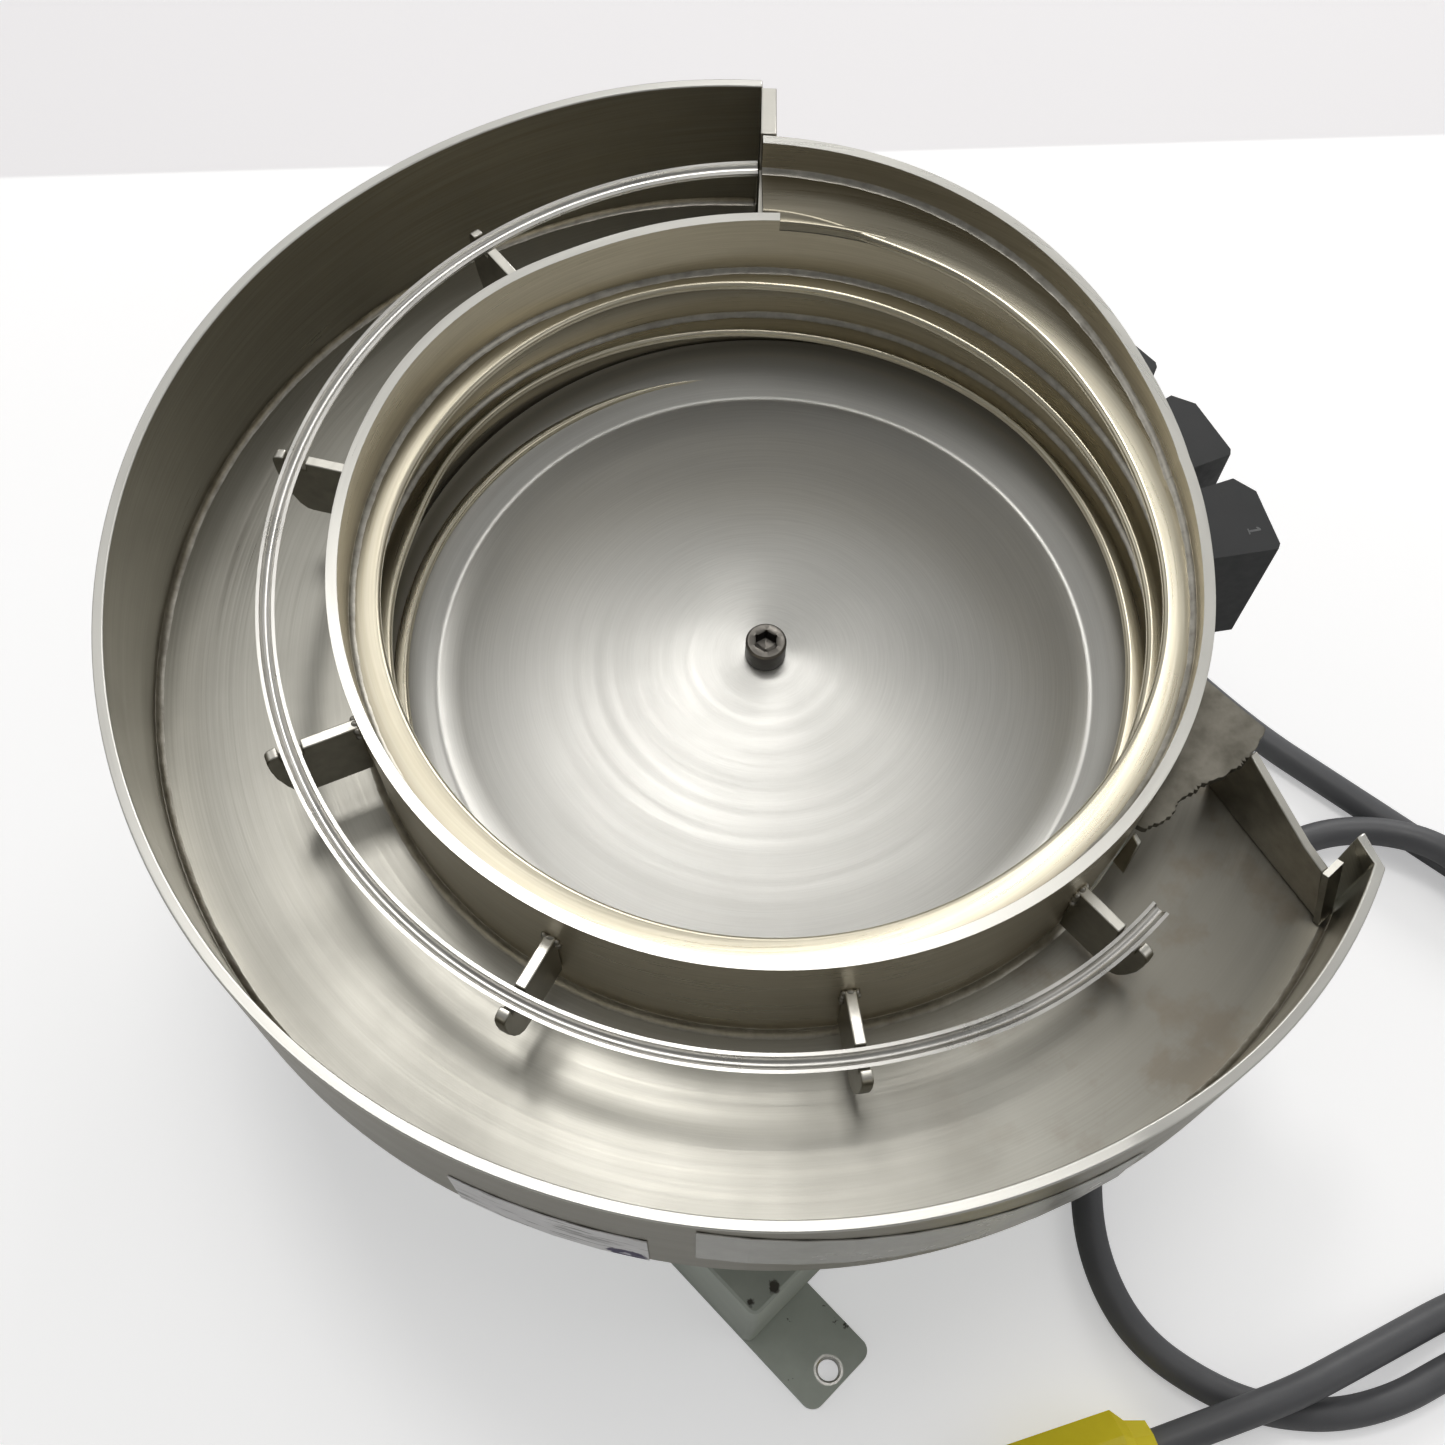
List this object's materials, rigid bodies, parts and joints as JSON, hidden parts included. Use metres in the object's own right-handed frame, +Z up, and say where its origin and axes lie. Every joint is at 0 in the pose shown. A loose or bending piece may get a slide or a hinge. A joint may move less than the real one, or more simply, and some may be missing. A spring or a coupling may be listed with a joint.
{
  "type": "vibratory bowl feeder",
  "caption": "Stainless vibratory parts feeder: bowl with an inside spiral ledge, outside return pan with a guide rail, and a leaf-spring magnet drive base with a cord.",
  "frame": {"origin": "on the bowl's axis at the table", "axes": "+Z up along the bowl's axis, +Y towards the end of the spiral ledge, -Y towards the front"},
  "size_m": [0.6312, 0.4027, 0.1847],
  "materials": {
    "stainless": "brushed",
    "black_steel": "black",
    "label": "matt",
    "tape": "clear",
    "core_steel": "laminated",
    "spring_steel": "blued",
    "plain_steel": "plain",
    "frame_iron": "cast",
    "coil": "taped",
    "base_paint": "painted",
    "foot_paint": "painted",
    "gland": "matt",
    "cord": "matt",
    "plug_yellow": "matt",
    "brass": "plain"
  },
  "bodies": {
    "base": {"leaf_springs": "spring_steel", "lower_spring_clamps": "plain_steel", "lower_clamp_screws": "black_steel", "magnet_bracket": "plain_steel", "magnet_core": "core_steel", "magnet_coil": "coil", "magnet_screws": "black_steel", "base_housing": "base_paint", "foot_bars": "foot_paint", "foot_bar_screws": "black_steel", "cord_gland": "gland", "power_cord": "cord", "plug_body": "plug_yellow", "plug_blades": "brass", "plug_ground_pin": "brass"},
    "bowl": {"bowl_floor": "stainless", "bowl_wall": "stainless", "lip_wall": "stainless", "ledge_turn_1": "stainless", "ledge_turn_2": "stainless", "ledge_turn_3": "stainless", "pan_floor": "stainless", "pan_wall": "stainless", "pan_start_plate": "stainless", "end_plate_long": "stainless", "end_plate_short": "stainless", "gusset_shelf": "stainless", "guide_rail": "stainless", "rail_tabs": "stainless", "balance_weight_1": "black_steel", "balance_weight_2": "black_steel", "balance_weight_3": "black_steel", "weight_seat": "stainless", "weight_screws": "black_steel", "blank_label": "label", "clear_tape": "tape", "armature": "core_steel", "armature_screws": "black_steel", "centre_screw": "black_steel", "upper_spring_clamps": "plain_steel", "upper_clamp_screws": "black_steel", "top_frame": "frame_iron"}
  },
  "joints": [
    {"name": "bowl_twist", "type": "hinge", "parent": "base", "child": "bowl", "pos_m": [0, 0, 0.08], "axis": [0, 0, 1], "range_deg": [-0.6, 0.6], "stiffness_Nm_per_rad": 3000, "deforming": ["leaf_springs"]}
  ]
}
